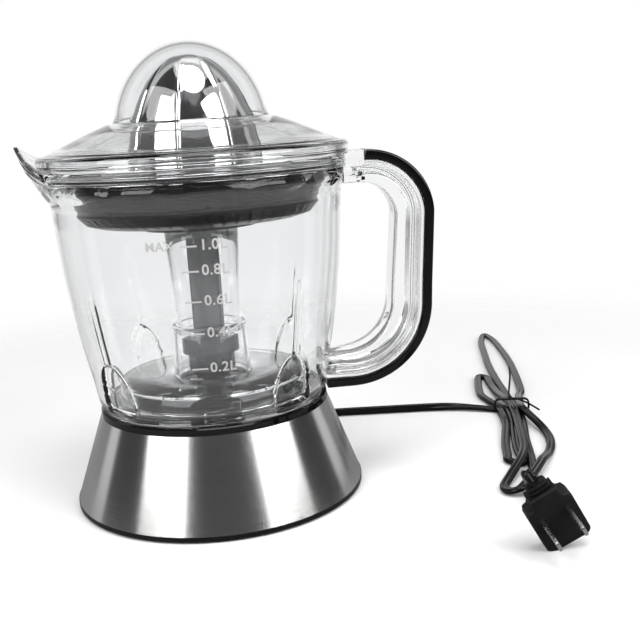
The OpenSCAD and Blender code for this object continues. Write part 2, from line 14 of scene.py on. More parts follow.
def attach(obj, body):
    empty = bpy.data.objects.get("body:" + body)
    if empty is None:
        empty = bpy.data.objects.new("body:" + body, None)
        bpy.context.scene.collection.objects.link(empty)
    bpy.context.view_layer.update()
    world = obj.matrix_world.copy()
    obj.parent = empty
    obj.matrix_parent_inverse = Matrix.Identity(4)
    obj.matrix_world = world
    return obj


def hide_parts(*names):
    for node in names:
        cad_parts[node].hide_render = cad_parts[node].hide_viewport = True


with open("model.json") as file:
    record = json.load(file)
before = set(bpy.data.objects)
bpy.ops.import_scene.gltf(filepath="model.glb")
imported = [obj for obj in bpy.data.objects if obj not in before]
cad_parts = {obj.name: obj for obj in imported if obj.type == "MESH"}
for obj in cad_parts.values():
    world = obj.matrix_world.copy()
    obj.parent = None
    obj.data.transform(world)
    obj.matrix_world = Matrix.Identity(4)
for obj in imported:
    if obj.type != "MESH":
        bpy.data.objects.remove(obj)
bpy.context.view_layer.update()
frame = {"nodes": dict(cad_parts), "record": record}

MM = 0.001
TURN = 2 * math.pi


# ---- Small maths helpers ----

def cosd(a):
    return math.cos(math.radians(a))


def sind(a):
    return math.sin(math.radians(a))


def clamp(x, low=0.0, high=1.0):
    return max(low, min(high, x))


def ease(x):
    """0 to 1 with level ends."""
    x = clamp(x)
    return x * x * (3 - 2 * x)


def angle_from(a, centre):
    """Degrees from centre to a, from -180 to 180."""
    return (a - centre + 180) % 360 - 180


def catmull(points, per):
    """A smooth line through the points, with per steps in each span."""
    pts = [Vector(p) for p in points]
    ends = [2 * pts[0] - pts[1]] + pts + [2 * pts[-1] - pts[-2]]
    line = []
    for p0, p1, p2, p3 in zip(ends, ends[1:], ends[2:], ends[3:]):
        for i in range(per):
            u = i / per
            line.append(0.5 * (2 * p1 + (p2 - p0) * u + (2 * p0 - 5 * p1 + 4 * p2 - p3) * u * u
                               + (3 * p1 - p0 - 3 * p2 + p3) * u ** 3))
    return line + [pts[-1]]


def arc(cx, cy, r, a0, a1, n):
    """Points on an arc, angles in degrees."""
    return [(cx + r * cosd(a0 + (a1 - a0) * i / n), cy + r * sind(a0 + (a1 - a0) * i / n))
            for i in range(n + 1)]


def rounded(outline, radius, steps=4, least=20):
    """A closed outline with the corners that turn by at least so many degrees rounded."""
    pts = [Vector(p) for p in outline]
    made = []
    for i, p in enumerate(pts):
        before, after = pts[i - 1] - p, pts[(i + 1) % len(pts)] - p
        turn = math.pi - before.angle(after)
        if turn < math.radians(least):
            made.append(tuple(p))
            continue
        d = min(radius, before.length * 0.45, after.length * 0.45)
        a, b = p + before.normalized() * d, p + after.normalized() * d
        for k in range(steps + 1):
            u = k / steps
            made.append(tuple(a * (1 - u) ** 2 + p * 2 * u * (1 - u) + b * u * u))
    return made


# ---- Mesh helpers ----

def make_object(name, verts, faces, sharp=38):
    """A mesh object from points in millimetres, with outward faces and smooth shading."""
    data = bpy.data.meshes.new(name)
    data.from_pydata([Vector(v) * MM for v in verts], [], faces)
    bm = bmesh.new()
    bm.from_mesh(data)
    bmesh.ops.remove_doubles(bm, verts=bm.verts, dist=1e-7)
    bmesh.ops.recalc_face_normals(bm, faces=bm.faces)
    bm.to_mesh(data)
    bm.free()
    data.shade_smooth()
    data.set_sharp_from_angle(angle=math.radians(sharp))
    obj = bpy.data.objects.new(name, data)
    bpy.context.scene.collection.objects.link(obj)
    return obj


def lathe(name, profile, steps=192, shape=None, closed=True, sharp=38):
    """Turns a profile of (radius, height) about Z. shape(r, z, degrees, index) may move a point."""
    angles = [360 * i / steps for i in range(steps)] if isinstance(steps, int) else steps
    verts, rings = [], []
    for k, (r, z) in enumerate(profile):
        if r < 1e-6:
            rings.append([len(verts)] * len(angles))
            verts.append((0, 0, z))
            continue
        rings.append(list(range(len(verts), len(verts) + len(angles))))
        for a in angles:
            rr, zz = shape(r, z, a, k) if shape else (r, z)
            verts.append((rr * cosd(a), rr * sind(a), zz))
    faces = []
    for k in range(len(rings) - (0 if closed else 1)):
        low, high = rings[k], rings[(k + 1) % len(rings)]
        for i in range(len(angles)):
            j = (i + 1) % len(angles)
            face = list(dict.fromkeys([low[i], low[j], high[j], high[i]]))
            if len(face) > 2:
                faces.append(face)
    return make_object(name, verts, faces, sharp)


def skin(name, rings, capped=True, sharp=38):
    """Joins rings of the same number of points into a closed skin."""
    n = len(rings[0])
    verts = [p for ring in rings for p in ring]
    faces = [[i * n + k, i * n + (k + 1) % n, (i + 1) * n + (k + 1) % n, (i + 1) * n + k]
             for i in range(len(rings) - 1) for k in range(n)]
    if capped:
        faces += [list(range(n)), list(range((len(rings) - 1) * n, len(rings) * n))]
    return make_object(name, verts, faces, sharp)


def prism(name, outline, z0, z1, bevel=0.0, sharp=38):
    """An upright prism on an outline of (x, y), with its top and bottom edges rounded."""
    steps = 4 if bevel else 0
    centre = Vector((sum(p[0] for p in outline), sum(p[1] for p in outline))) / len(outline)
    rings = []
    for i in range(steps + 1):
        a = 90 * i / steps if steps else 90
        rings.append((bevel * (1 - sind(a)), bevel * (1 - cosd(a))))
    levels = [(inset, z0 + rise) for inset, rise in rings]
    levels += [(inset, z1 - rise) for inset, rise in reversed(rings)]
    made = []
    for inset, z in levels:
        ring = []
        for p in outline:
            p = Vector(p)
            ring.append((*(p - (p - centre).normalized() * inset), z))
        made.append(ring)
    return skin(name, made, True, sharp)


def tube(name, path, radius, sides=12, closed=False):
    """A round wire along a path in millimetres."""
    pts = [Vector(p) for p in path]
    side = None
    rings = []
    for i, p in enumerate(pts):
        if closed:
            along = (pts[(i + 1) % len(pts)] - pts[i - 1]).normalized()
        else:
            along = (pts[min(i + 1, len(pts) - 1)] - pts[max(i - 1, 0)]).normalized()
        if side is None:
            side = along.orthogonal().normalized()
        side = (side - along * side.dot(along)).normalized()
        up = along.cross(side)
        rings.append([p + (side * cosd(360 * k / sides) + up * sind(360 * k / sides)) * radius
                      for k in range(sides)])
    if closed:
        rings.append(rings[0])
    return skin(name, rings, not closed)


def cut(obj, tool):
    """Takes tool's solid out of obj and removes tool."""
    mod = obj.modifiers.new("cut", "BOOLEAN")
    mod.operation, mod.solver, mod.object = "DIFFERENCE", "EXACT", tool
    bpy.context.view_layer.update()
    done = bpy.data.meshes.new_from_object(obj.evaluated_get(bpy.context.evaluated_depsgraph_get()))
    obj.modifiers.clear()
    obj.data = done
    done.set_sharp_from_angle(angle=math.radians(38))
    bpy.data.objects.remove(tool)
    return obj


def join(name, parts):
    """One object from several, in the first one's place."""
    bm = bmesh.new()
    for part in parts:
        bm.from_mesh(part.data)
        bpy.data.objects.remove(part)
    data = bpy.data.meshes.new(name)
    bm.to_mesh(data)
    bm.free()
    data.shade_smooth()
    data.set_sharp_from_angle(angle=math.radians(38))
    obj = bpy.data.objects.new(name, data)
    bpy.context.scene.collection.objects.link(obj)
    return obj


def dress(obj, body, slot, *nodes):
    """Puts the slot's material on a piece, which rides on a body and stands for CAD nodes."""
    obj.data.materials.clear()
    obj.data.materials.append(MATERIALS[slot])
    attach(obj, body)
    if nodes:
        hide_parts(*nodes)
    return obj


# ---- Camera ----

def make_camera():
    """The camera stands in front of the press and looks a little down and to its right."""
    pitch, yaw, roll = math.radians(12.057), math.radians(6.845), math.radians(-3.4625)
    ahead = Vector((math.sin(yaw) * math.cos(pitch), math.cos(yaw) * math.cos(pitch), -math.sin(pitch)))
    right = ahead.cross(Vector((0, 0, 1))).normalized()
    up = right.cross(ahead)
    x = right * math.cos(roll) + up * math.sin(roll)
    y = up * math.cos(roll) - right * math.sin(roll)
    data = bpy.data.cameras.new("camera")
    data.lens, data.sensor_width = 53.13, 36
    data.clip_start, data.clip_end = 0.01, 100
    camera = bpy.data.objects.new("camera", data)
    camera.matrix_world = Matrix((x, y, -ahead)).transposed().to_4x4()
    camera.location = (0, -0.4982, 0.1944)
    bpy.context.scene.collection.objects.link(camera)
    bpy.context.scene.camera = camera


# ---- Materials ----

class Nodes:
    """Builds one material's node tree round its Principled node."""

    def __init__(self, name, colour, roughness, **plain):
        self.material = bpy.data.materials.new(name)
        self.material.use_nodes = True
        self.tree = self.material.node_tree
        self.shader = self.tree.nodes["Principled BSDF"]
        self.material.diffuse_color = (*colour, 1)
        self.shader.inputs["Base Color"].default_value = (*colour, 1)
        self.shader.inputs["Roughness"].default_value = roughness
        for socket, value in plain.items():
            self.shader.inputs[socket.replace("_", " ")].default_value = value
        self.place = self.add("ShaderNodeTexCoord").outputs["Object"]

    def add(self, kind, **settings):
        node = self.tree.nodes.new(kind)
        for key, value in settings.items():
            setattr(node, key, value)
        return node

    def link(self, source, target):
        self.tree.links.new(source, target)

    def maths(self, operation, a, b=None):
        node = self.add("ShaderNodeMath", operation=operation)
        for socket, value in zip(node.inputs, (a, b)):
            if isinstance(value, (int, float)):
                socket.default_value = value
            elif value is not None:
                self.link(value, socket)
        return node.outputs[0]

    def stretched(self, scale):
        """Object coordinates scaled differently along each axis."""
        node = self.add("ShaderNodeMapping")
        node.inputs["Scale"].default_value = scale
        self.link(self.place, node.inputs["Vector"])
        return node.outputs[0]

    def round_the_axis(self, around, along):
        """Coordinates that run round the Z axis and along it, for lathe and brush marks."""
        split = self.add("ShaderNodeSeparateXYZ")
        self.link(self.place, split.inputs[0])
        angle = self.maths("ARCTAN2", split.outputs[1], split.outputs[0])
        joined = self.add("ShaderNodeCombineXYZ")
        self.link(self.maths("MULTIPLY", angle, around), joined.inputs[0])
        self.link(self.maths("MULTIPLY", split.outputs[2], along), joined.inputs[1])
        return joined.outputs[0]

    def noise(self, scale, detail=2.0, vector=None, roughness=0.5):
        node = self.add("ShaderNodeTexNoise")
        node.inputs["Scale"].default_value = scale
        node.inputs["Detail"].default_value = detail
        node.inputs["Roughness"].default_value = roughness
        self.link(vector or self.place, node.inputs["Vector"])
        return node.outputs["Fac"]

    def spread(self, value, low, high):
        node = self.add("ShaderNodeMapRange")
        node.inputs["From Min"].default_value = 0.3
        node.inputs["From Max"].default_value = 0.7
        node.inputs["To Min"].default_value = low
        node.inputs["To Max"].default_value = high
        self.link(value, node.inputs["Value"])
        return node.outputs[0]

    def vary_roughness(self, value, low, high):
        self.link(self.spread(value, low, high), self.shader.inputs["Roughness"])

    def vary_colour(self, value, dark, light):
        ramp = self.add("ShaderNodeValToRGB")
        ramp.color_ramp.elements[0].position = 0.3
        ramp.color_ramp.elements[1].position = 0.7
        ramp.color_ramp.elements[0].color = (*dark, 1)
        ramp.color_ramp.elements[1].color = (*light, 1)
        self.link(value, ramp.inputs[0])
        self.link(ramp.outputs[0], self.shader.inputs["Base Color"])

    def bump(self, value, distance, strength=1.0):
        node = self.add("ShaderNodeBump")
        node.inputs["Distance"].default_value = distance
        node.inputs["Strength"].default_value = strength
        self.link(value, node.inputs["Height"])
        self.link(node.outputs[0], self.shader.inputs["Normal"])

    def lamps_pass(self, share):
        """Lets light from lamps through, as thin clear plastic does."""
        path = self.add("ShaderNodeLightPath")
        through = self.add("ShaderNodeBsdfTransparent")
        through.inputs[0].default_value = (share, share, share, 1)
        mix = self.add("ShaderNodeMixShader")
        output = next(n for n in self.tree.nodes if n.type == "OUTPUT_MATERIAL")
        self.link(path.outputs["Is Shadow Ray"], mix.inputs[0])
        self.link(self.shader.outputs[0], mix.inputs[1])
        self.link(through.outputs[0], mix.inputs[2])
        self.link(mix.outputs[0], output.inputs["Surface"])


def clear_plastic():
    m = Nodes("clear_plastic", (0.975, 0.98, 0.985), 0.02, IOR=1.49, Transmission_Weight=1.0)
    m.vary_roughness(m.noise(60, 3), 0.008, 0.03)
    m.bump(m.noise(90, 2), 0.00006, 0.35)
    m.lamps_pass(0.94)
    return m.material


def moulded(name, dark, light, low, high, grain, depth, **plain):
    """Moulded plastic or rubber with a fine grain."""
    m = Nodes(name, light, (low + high) / 2, **plain)
    fine = m.noise(grain, 3)
    m.vary_colour(m.noise(grain / 9, 4), dark, light)
    m.vary_roughness(fine, low, high)
    m.bump(fine, depth, 0.6)
    return m.material


def turned_metal(name, dark, light, low, high, around, along):
    """Metal with fine marks that run round the Z axis."""
    m = Nodes(name, light, (low + high) / 2, Metallic=1.0)
    marks = m.noise(1, 4, m.round_the_axis(around, along), 0.65)
    m.vary_colour(marks, dark, light)
    m.vary_roughness(marks, low, high)
    m.bump(marks, 0.00003, 0.5)
    return m.material


def brushed_steel():
    m = Nodes("brushed_steel", (0.72, 0.72, 0.72), 0.3, Metallic=1.0, Anisotropic=0.85,
              Anisotropic_Rotation=0.25)
    tangent = m.add("ShaderNodeTangent", direction_type="RADIAL", axis="Z")
    m.link(tangent.outputs[0], m.shader.inputs["Tangent"])
    lines = m.noise(1, 5, m.round_the_axis(4, 9000), 0.75)
    m.vary_colour(lines, (0.62, 0.61, 0.605), (0.76, 0.755, 0.75))
    m.vary_roughness(lines, 0.15, 0.26)
    m.bump(lines, 0.00001, 0.3)
    return m.material


def polished_steel():
    m = Nodes("polished_steel", (0.78, 0.78, 0.785), 0.05, Metallic=1.0)
    marks = m.noise(1, 3, m.round_the_axis(3, 900), 0.6)
    m.vary_roughness(marks, 0.03, 0.075)
    m.bump(marks, 0.000012, 0.3)
    return m.material


def plain_steel():
    m = Nodes("plain_steel", (0.66, 0.66, 0.67), 0.25, Metallic=1.0)
    marks = m.noise(1, 4, m.stretched((900, 900, 5200)), 0.6)
    m.vary_colour(m.noise(160, 3), (0.46, 0.46, 0.465), (0.58, 0.58, 0.59))
    m.vary_roughness(marks, 0.16, 0.34)
    m.bump(marks, 0.00002, 0.4)
    return m.material


def copper_wire():
    """Enamelled windings, laid side by side."""
    m = Nodes("copper", (0.62, 0.27, 0.1), 0.25, Metallic=1.0, Coat_Weight=0.5)
    wave = m.add("ShaderNodeTexWave", bands_direction="Z")
    wave.inputs["Scale"].default_value = 420
    wave.inputs["Distortion"].default_value = 0.6
    m.link(m.place, wave.inputs["Vector"])
    # Painted shade: the colour goes dark in the low bands of the wave, where the bump sinks into the
    # grooves between windings
    m.vary_colour(wave.outputs["Fac"], (0.3, 0.1, 0.03), (0.7, 0.32, 0.13))
    m.bump(wave.outputs["Fac"], 0.0003, 0.8)
    return m.material


def gloss_black():
    m = Nodes("gloss_black", (0.004, 0.004, 0.0045), 0.06, Specular_IOR_Level=0.3)
    m.vary_colour(m.noise(30, 3), (0.003, 0.003, 0.0032), (0.006, 0.006, 0.0065))
    m.vary_roughness(m.noise(240, 3), 0.04, 0.09)
    m.bump(m.noise(420, 2), 0.00001, 0.35)
    return m.material


def print_white():
    m = Nodes("mark_white", (0.7, 0.7, 0.7), 0.45)
    m.vary_colour(m.noise(900, 2), (0.6, 0.6, 0.6), (0.68, 0.68, 0.68))
    m.bump(m.noise(2600, 2), 0.00001, 0.5)
    return m.material


MATERIALS = {
    "black_plastic": moulded("black_plastic", (0.003, 0.003, 0.0033), (0.006, 0.006, 0.0063),
                             0.18, 0.28, 2200, 0.00002, Specular_IOR_Level=0.22),
    "gloss_black": gloss_black(),
    "rubber": moulded("rubber", (0.01, 0.01, 0.01), (0.02, 0.02, 0.02), 0.7, 0.9, 1500,
                      0.00005, Specular_IOR_Level=0.3),
    "brushed_steel": brushed_steel(),
    "polished_steel": polished_steel(),
    "plain_steel": plain_steel(),
    "bronze": turned_metal("bronze", (0.5, 0.33, 0.14), (0.68, 0.48, 0.24), 0.25, 0.42, 3, 4000),
    "copper": copper_wire(),
    "white_plastic": moulded("white_plastic", (0.72, 0.71, 0.67), (0.82, 0.81, 0.78),
                             0.35, 0.5, 1800, 0.00003, Subsurface_Weight=0.05),
    "red_plastic": moulded("red_plastic", (0.5, 0.03, 0.02), (0.62, 0.06, 0.035),
                           0.3, 0.42, 1800, 0.00002),
    "grey_plastic": moulded("grey_plastic", (0.035, 0.036, 0.038), (0.055, 0.056, 0.058),
                            0.14, 0.22, 1400, 0.00002, Specular_IOR_Level=0.35),
    "clear_plastic": clear_plastic(),
    "cord_black": moulded("cord_black", (0.003, 0.003, 0.003), (0.005, 0.005, 0.005),
                          0.13, 0.2, 700, 0.00001, Specular_IOR_Level=0.22),
    "plug_black": moulded("plug_black", (0.005, 0.005, 0.005), (0.01, 0.01, 0.01),
                          0.45, 0.6, 1400, 0.00025, Specular_IOR_Level=0.2),
}
WHITE_PRINT = print_white()


# ---- Cord, plug and tie ----

# The cord's centre line: lead, front fold, back loop, front loop, small loop, plug
CORD_POINTS = [
    (26, 55, 9.6), (33, 71, 9), (38.5, 82, 6.6), (46, 91, 4.2), (58, 97, 3), (78, 98, 2.7),
    (98, 95.5, 2.7), (138, 90, 2.7), (154, 86.5, 2.7), (167, 81.5, 2.4), (181, 74.5, 1.7),
    (182.5, 69.5, 1.7), (178, 46, 1.7), (172, 28, 1.7), (165.5, 9, 1.7), (161, -8, 1.7),
    (159, -15.5, 1.7), (163, -21.5, 1.7), (166, -19, 1.7), (170, 2, 1.7), (178.5, 31, 1.7),
    (183.5, 47, 1.7), (186.5, 60, 1.7), (188, 70.5, 1.7), (184.5, 80, 1.7), (181, 105, 1.7),
    (183.5, 120, 1.7), (187.5, 136, 1.7), (193, 153, 1.7), (197.5, 148.5, 1.7), (196, 138, 1.7),
    (194, 122, 1.7), (192, 104, 3), (190.5, 87, 4.9), (190, 70, 5), (187.5, 56, 5), (179.5, 24, 5),
    (176, 10, 5), (171, -7, 5), (164.5, -21.5, 5.1), (157, -33, 4), (150, -42.5, 2.2),
    (145, -50.5, 1.7), (144.5, -57.5, 1.9), (148.5, -61.5, 3.6), (154.5, -57.5, 5.1),
    (169.5, -35, 5), (175.5, -25, 4.6), (184, -11, 1.7), (190, 1, 1.7), (194, 14, 1.7),
    (195.5, 26, 2.2), (195, 37, 3.8), (194.5, 57, 5), (195.5, 69, 5), (204, 97, 2.2),
    (210, 109.5, 1.7), (219, 146, 1.7), (228, 188.5, 1.7), (233.5, 226, 1.7), (237, 255.5, 1.7),
    (236.5, 276, 1.7), (233, 273.5, 1.7), (228, 261, 1.7), (223.5, 245.5, 1.7), (218, 220.5, 1.7),
    (209, 179.5, 1.7), (201.5, 134, 1.7), (200, 122, 1.7), (197.5, 104, 1.7), (195.5, 87, 1.7),
    (193.5, 69.5, 1.7), (191.5, 56, 1.7), (186, 36, 1.7), (180.5, 18, 1.7), (176.5, 2, 1.7),
    (173, -12, 1.7), (168.6, -28, 1.7), (163.6, -42, 1.7), (154.4, -67, 3), (150, -78, 9),
    (139.7, -105, 25), (131.8, -122.2, 37.6), (132.1, -125, 37.2), (133.1, -125.9, 35.6),
    (134.4, -125.6, 33.4)]
CORD_W = 5.2
CORD_T = 3.0
EXIT_TURN = 64.8
EXIT_Z = 9.6
STEPS_PER_SPAN = 8
SMOOTHINGS = 5
LEAD_STEPS = 100
LEAD_TILT = 72
PLUG_STEPS = 30
BLADE_MIDDLES = (-6.35, 6.35)
BLADE_Y = -12.5
BLADE_HALF = 3.2
PLUG_PLACE = Matrix.Translation((150, -125, 5.9)) @ Euler(
    [math.radians(a) for a in (-101, 29, 176.5)]).to_matrix().to_4x4()


def twin_section():
    """Outline of a flat two-core cord: two round cores with a groove between them."""
    r = CORD_T / 2
    shift = CORD_W / 2 - r
    right = [(shift + r * cosd(a), r * sind(a)) for a in range(-132, 133, 24)]
    return right + [(-x, -y) for x, y in right]


def make_cord():
    """Sweeps the flat cord. It stands on edge along the lead and lies flat in the bundle."""
    path = catmull(CORD_POINTS, STEPS_PER_SPAN)
    for _ in range(SMOOTHINGS):
        inner = [(a + b * 2 + c) / 4 for a, b, c in zip(path, path[1:], path[2:])]
        path = [path[0]] + inner + [path[-1]]
    section = twin_section()
    plug_side = (PLUG_PLACE.to_3x3() @ Vector((1, 0, 0))).normalized()
    side = Vector((0, 0, 1)).cross(path[1] - path[0]).normalized()
    rings = []
    for i, p in enumerate(path):
        along = (path[min(i + 1, len(path) - 1)] - path[max(i - 1, 0)]).normalized()
        flat = Vector((0, 0, 1)).cross(along)
        side = side - along * side.dot(along)
        if flat.length > 0.5:
            side = side.lerp(flat.normalized() * (1 if flat.dot(side) > 0 else -1), 0.3)
        if len(path) - 1 - i < PLUG_STEPS:
            target = plug_side * (1 if plug_side.dot(side) > 0 else -1)
            side = side.normalized().lerp(target, 0.25)
        side = (side - along * side.dot(along)).normalized()
        edge = 0.0
        if i < LEAD_STEPS:
            edge = math.radians(LEAD_TILT) * ease((p.x - 44) / 30) * ease((172 - p.x) / 34)
        wide = side * math.cos(edge) + along.cross(side) * math.sin(edge)
        thick = along.cross(wide)
        lowest = abs(wide.z) * (CORD_W - CORD_T) / 2 + CORD_T / 2
        p = Vector((p.x, p.y, max(p.z, lowest + 0.05)))  # clear of the floor
        path[i] = p
        rings.append([p + wide * x + thick * y for x, y in section])
    cord = skin("power_cord_flex", rings, True, 60)
    dress(cord, "base", "cord_black", "power_cord")
    return cord, path


def plug_outline():
    """The plug's face: shoulders below, a straight free end above."""
    corner = 3.2
    half, top, low = 11, 4, -20
    right = arc(half - corner, top - corner, corner, 0, 90, 6)
    left = arc(-half + corner, top - corner, corner, 90, 180, 6)
    shoulder = [(-half, low + 1), (-10, -21.4), (-7.8, -22), (-7, -23.4), (-6.6, -27)]
    return right + left + shoulder + [(-x, y) for x, y in reversed(shoulder)]


def make_plug():
    """The moulded plug with its ringed neck and the seats of its blades."""
    body = prism("plug_core", plug_outline(), -10, 0, 1.3)
    parts = [body]
    for i, y in enumerate((-31.4, -29.2, -27)):
        grow = i * 0.45
        half = 5 + grow
        outline = rounded([(-half, -7.9), (half, -7.9), (half, -1.9), (-half, -1.9)], 2.2, 5)
        ring = [[(x * s, y + dy, -4.9 + (z + 4.9) * s) for x, z in outline]
                for s, dy in ((0.84, 0), (0.97, 0.2), (1, 0.7), (0.97, 1.2), (0.84, 1.4))]
        parts.append(skin(f"neck_{i}", ring))
    neck = rounded([(-4.3, -7), (4.3, -7), (4.3, -2.8), (-4.3, -2.8)], 2, 5)
    parts.append(skin("neck", [[(x, y, z) for x, z in neck] for y in (-32, -26)]))
    for x in BLADE_MIDDLES:
        base = rounded([(x - 1.7, -16.6), (x + 1.7, -16.6), (x + 1.7, -8.4), (x - 1.7, -8.4)], 1.2, 4)
        parts.append(prism(f"blade_seat_{x}", base, -0.6, 0.3, 0.25))
    plug = join("plug_moulding", parts)
    plug.data.transform(Matrix.Scale(MM, 4) @ PLUG_PLACE @ Matrix.Scale(1 / MM, 4))
    # The edge that it lies on is flat on the floor
    for corner in plug.data.vertices:
        corner.co.z = max(corner.co.z, 0.0001)
    return dress(plug, "base", "plug_black", "plug_body")


def make_blades():
    """Two flat blades with rounded ends and a hole near each tip, broad faces towards each other."""
    parts = []
    half, middle, tip = BLADE_HALF, BLADE_Y, 16.4
    profile = [(middle - half, -4), (middle - half, tip - 2.2), (middle - half + 1, tip),
               (middle + half - 1, tip), (middle + half, tip - 2.2), (middle + half, -4)]
    outline = rounded(profile, 0.8, 4)
    for x in BLADE_MIDDLES:
        rings = []
        for dx, inset in ((-0.8, 0.22), (-0.58, 0), (0.58, 0), (0.8, 0.22)):
            rings.append([(x + dx, y + (inset if y < middle else -inset), z - (inset if z > 14 else 0))
                          for y, z in outline])
        blade = skin(f"blade_{x}", rings)
        hole = lathe("hole", [(1.6, -3), (1.6, 3), (0, 3), (0, -3)], 32, closed=False)
        hole.data.transform(Matrix.Translation((x * MM, middle * MM, 12.6 * MM))
                            @ Matrix.Rotation(math.radians(90), 4, "Y"))
        parts.append(cut(blade, hole))
    blades = join("plug_blade_pair", parts)
    blades.data.transform(Matrix.Scale(MM, 4) @ PLUG_PLACE @ Matrix.Scale(1 / MM, 4))
    return dress(blades, "base", "plain_steel", "plug_blades")


def make_tie():
    """Thin wire twisted round the bundle, its two ends left long."""
    turn = Matrix.Translation((190, 70, 0)) @ Matrix.Rotation(math.radians(-12), 4, "Z")
    wire = 0.6
    loop = rounded([(-10.8, 0.7), (10.8, 0.7), (10.8, 9.3), (-10.8, 9.3)], 3.4, 6)
    parts = []
    for shift in (-0.8, 0.7):
        line = [turn @ Vector((x, shift, z)) for x, z in loop]
        parts.append(tube(f"tie_loop_{shift}", line, wire, 10, True))
    twist = [turn @ Vector((-1 + 0.7 * cosd(a), -0.2 + a / 180, 9.9 + 0.7 * sind(a) * 0.4))
             for a in range(0, 721, 45)]
    parts.append(tube("tie_twist", twist, wire, 10))
    first = [(-1, 0, 9.9), (3.4, -2.4, 9.8), (7.8, -6.2, 8.9), (12, -10.4, 7.4), (15.6, -14.2, 5.8)]
    second = [(-1, 0, 9.9), (-1.4, 2.6, 12.6), (-0.6, 5.6, 17.4), (0.2, 8.6, 22.6), (0.1, 11.4, 27.6)]
    for i, end in enumerate((first, second)):
        parts.append(tube(f"tie_end_{i}", catmull([turn @ Vector(p) for p in end], 6), wire, 10))
    tie = join("cord_wire_tie", parts)
    return dress(tie, "base", "cord_black", "cord_tie")


def make_strain_relief():
    """Tapered sleeve with rings round it, bent a little down towards the floor."""
    out = Matrix.Translation((0, 0, EXIT_Z)) @ Matrix.Rotation(math.radians(EXIT_TURN), 4, "Z")
    rings = []
    steps, ribs, sides = 60, 8, 28
    for i in range(steps + 1):
        u = i / steps
        run = 70.5 + 26 * u
        drop = -0.6 * u - 4.2 * u * u
        rib = 0.28 * (0.5 + 0.5 * math.cos(u * TURN * ribs)) if 0.16 < u < 0.95 else 0.0
        wide = 3.9 if u < 0.26 else 4.4 - 0.9 * u + rib
        high = 3.9 if u < 0.26 else 4.0 - 1.4 * u + rib
        rings.append([out @ Vector((run, wide * cosd(360 * k / sides), drop + high * sind(360 * k / sides)))
                      for k in range(sides)])
    sleeve = skin("cord_sleeve", rings, True, 50)
    return dress(sleeve, "base", "cord_black", "strain_relief")


make_camera()
cord, cord_path = make_cord()
plug, blades, tie, sleeve = make_plug(), make_blades(), make_tie(), make_strain_relief()


# ---- Jug ----

WALL = 2.4
RIM_Z = 176.0
RIM_R = 77.4
FACETS = 14
FACET_FLAT = 75.2
FACET_TURN = -84.5
FACET_Z = (157.0, 169.8)
LIP_LOW = 160.0
POCKET_TURN = -51.0
POCKET_HALF = 12.0
POCKET_DEEP = 3.6
CREASE_DEEP = 0.75
JUG_OUTLINE = [(60.6, 55.2), (61.6, 60), (63.3, 70.6), (66, 83.9), (68.6, 99.4), (70.8, 114.8),
               (72.4, 130.3), (73.4, 145.7), (74.1, 157), (74.7, 160), (75.7, 163), (76.6, 166),
               (77.1, 169)]


def height_table(points):
    """Radius against height on a smooth line through the points."""
    line = catmull(points, 10)

    def radius(z):
        if z <= line[0].y:
            return line[0].x
        for a, b in zip(line, line[1:]):
            if a.y <= z <= b.y:
                return a.x + (b.x - a.x) * (z - a.y) / max(b.y - a.y, 1e-9)
        return line[-1].x
    return radius


jug_radius = height_table(JUG_OUTLINE)


def heights(low, high, step):
    n = max(1, round((high - low) / step))
    return [low + (high - low) * i / n for i in range(n + 1)]


def bead(r, z, proud, half):
    """A small rounded ring on an outer wall, from low to high."""
    return [(r + proud * cosd(a), z + half * sind(a)) for a in range(-90, 91, 30)]


def lip_rim(a):
    """How far the rim is pushed out and lifted at an angle: the pouring lip round 180 degrees."""
    d = abs(angle_from(a, 180))
    out = 5.0 * ease((36 - d) / 9)
    rise = 0.0
    if d < 28:
        out += 7.9 * (1 - d / 28) ** 1.35
    if d < 29:
        rise = 13.1 * (1 - d / 29) ** 1.15
    return out, rise


def pocket_depth(r, z, a):
    """How far the wall is pressed in by the nearest of the four petal-shaped pockets."""
    across = abs(math.radians(angle_from(a - POCKET_TURN, 90 * round((a - POCKET_TURN) / 90)))) * r
    rise = clamp((z - 54) / 28)
    half = POCKET_HALF * math.sqrt(1 - rise ** 2.4)
    petal = POCKET_DEEP * ease((half - across) / 2.6) * ease((z - 55.4) / 2.4)
    crease = CREASE_DEEP * ease((1.9 - across) / 1.9) * ease((z - 72) / 12) * ease((122 - z) / 16)
    return petal + crease


